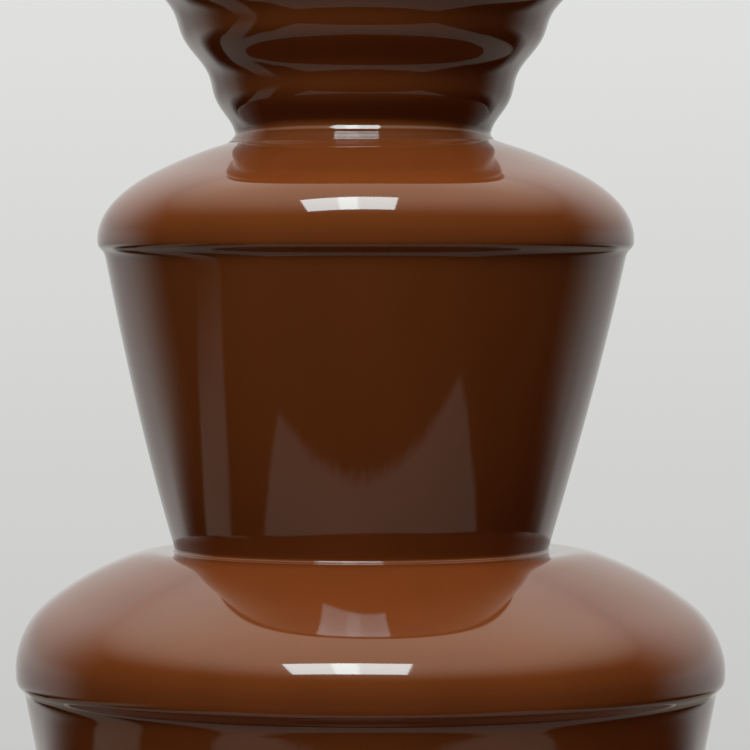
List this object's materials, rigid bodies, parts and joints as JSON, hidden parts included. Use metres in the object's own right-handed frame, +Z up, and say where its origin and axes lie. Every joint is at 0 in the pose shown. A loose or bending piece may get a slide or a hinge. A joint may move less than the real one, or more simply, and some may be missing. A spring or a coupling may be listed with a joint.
{
  "type": "chocolate fountain",
  "caption": "Tiered chocolate fountain: heated bowl on a round base, screw pump in a tower tube, lift-off tiers and crown, with the chocolate running over them.",
  "frame": {"origin": "on the table, under the centre of the tower", "axes": "+Z up along the tower, -Y towards the control fascia at the front"},
  "size_m": [0.286, 0.286, 0.404],
  "materials": {
    "stainless_sheet": "brushed",
    "polished_steel": "satin polished",
    "zinc_steel": "zinc plated",
    "chocolate": "wet gloss",
    "black_plastic": "fine grain",
    "ivory_plastic": "moulded",
    "red_plastic": "gloss",
    "amber_lens": "gloss",
    "black_rubber": "matt",
    "red_silicone": "matt",
    "brass": "turned",
    "aluminium": "mill finish",
    "heater_sheath": "oxidised",
    "copper_tube": "drawn",
    "lead_insulation": "matt"
  },
  "bodies": {
    "base": {"base_plate": "zinc_steel", "base_housing": "stainless_sheet", "housing_screws": "zinc_steel", "foot_nuts": "zinc_steel", "control_fascia": "black_plastic", "thermostat_body": "ivory_plastic", "sensor_capillary": "copper_tube", "switch_body": "black_plastic", "pilot_lamp": "amber_lens", "rear_panel": "black_plastic", "power_inlet": "black_plastic", "inlet_pins": "brass", "wiring": "lead_insulation", "motor_can": "zinc_steel", "gearbox_lower_plate": "zinc_steel", "gearbox_upper_plate": "zinc_steel", "gearbox_pillars": "aluminium", "gearbox_spacers": "aluminium", "gearbox_screws": "zinc_steel", "shaft_bearings": "brass", "idler_pin": "polished_steel", "bowl": "stainless_sheet", "bowl_gasket": "red_silicone", "bowl_studs": "zinc_steel", "bowl_nuts": "zinc_steel", "hub_bush": "brass", "hub_nut": "brass", "shaft_seal": "red_silicone", "heat_spreader": "aluminium", "heating_element": "heater_sheath", "heater_clips": "zinc_steel", "thermal_cutout": "black_plastic", "tower_posts": "polished_steel", "bowl_chocolate": "chocolate"},
    "auger": {"drive_shaft": "polished_steel", "output_gear": "ivory_plastic", "auger_core": "ivory_plastic", "auger_flight": "ivory_plastic"},
    "idler": {"idler_gear": "ivory_plastic"},
    "rotor": {"motor_shaft": "polished_steel", "motor_pinion": "brass"},
    "knob": {"heat_knob": "black_plastic", "knob_spindle": "polished_steel"},
    "rocker": {"motor_rocker": "red_plastic"},
    "foot_1": {"foot_pad_1": "black_rubber", "foot_stud_1": "zinc_steel"},
    "foot_2": {"foot_pad_2": "black_rubber", "foot_stud_2": "zinc_steel"},
    "foot_3": {"foot_pad_3": "black_rubber", "foot_stud_3": "zinc_steel"},
    "tower": {"tower_tube": "polished_steel", "lower_seat_ring": "black_plastic", "middle_seat_ring": "black_plastic"},
    "lower_tier": {"lower_tier": "stainless_sheet", "lower_chocolate": "chocolate"},
    "middle_tier": {"middle_tier": "stainless_sheet", "middle_chocolate": "chocolate"},
    "crown": {"crown": "stainless_sheet", "crown_chocolate": "chocolate"}
  },
  "joints": [
    {"name": "auger_spin", "type": "hinge", "parent": "base", "child": "auger", "pos_m": [0, 0, 0], "axis": [0, 0, 1], "continuous": true},
    {"name": "idler_spin", "type": "hinge", "parent": "base", "child": "idler", "pos_m": [0.035, 0, 0], "axis": [0, 0, 1], "continuous": true},
    {"name": "rotor_spin", "type": "hinge", "parent": "base", "child": "rotor", "pos_m": [0.02, 0.02598, 0], "axis": [0, 0, 1], "continuous": true},
    {"name": "knob_turn", "type": "hinge", "parent": "base", "child": "knob", "pos_m": [-0.03, -0.108, 0.0665], "axis": [0, -1, 0], "range_deg": [-135, 135]},
    {"name": "rocker_tilt", "type": "hinge", "parent": "base", "child": "rocker", "pos_m": [0.03, -0.104, 0.0665], "axis": [1, 0, 0], "range_deg": [-20, 0]},
    {"name": "foot_1_screw", "type": "slide", "parent": "base", "child": "foot_1", "axis": [0, 0, -1], "range_m": [0, 0.01]},
    {"name": "foot_2_screw", "type": "slide", "parent": "base", "child": "foot_2", "axis": [0, 0, -1], "range_m": [0, 0.01]},
    {"name": "foot_3_screw", "type": "slide", "parent": "base", "child": "foot_3", "axis": [0, 0, -1], "range_m": [0, 0.01]},
    {"name": "tower_lift", "type": "slide", "parent": "base", "child": "tower", "axis": [0, 0, 1], "range_m": [0, 0.28]},
    {"name": "lower_tier_lift", "type": "slide", "parent": "tower", "child": "lower_tier", "axis": [0, 0, 1], "range_m": [0, 0.14]},
    {"name": "middle_tier_lift", "type": "slide", "parent": "lower_tier", "child": "middle_tier", "axis": [0, 0, 1], "range_m": [0, 0.05]},
    {"name": "crown_lift", "type": "slide", "parent": "middle_tier", "child": "crown", "axis": [0, 0, 1], "range_m": [0, 0.03]}
  ],
  "couplings": [
    {"joint": "idler_spin", "follows": "auger_spin", "ratio": -4},
    {"joint": "rotor_spin", "follows": "auger_spin", "ratio": 16}
  ]
}
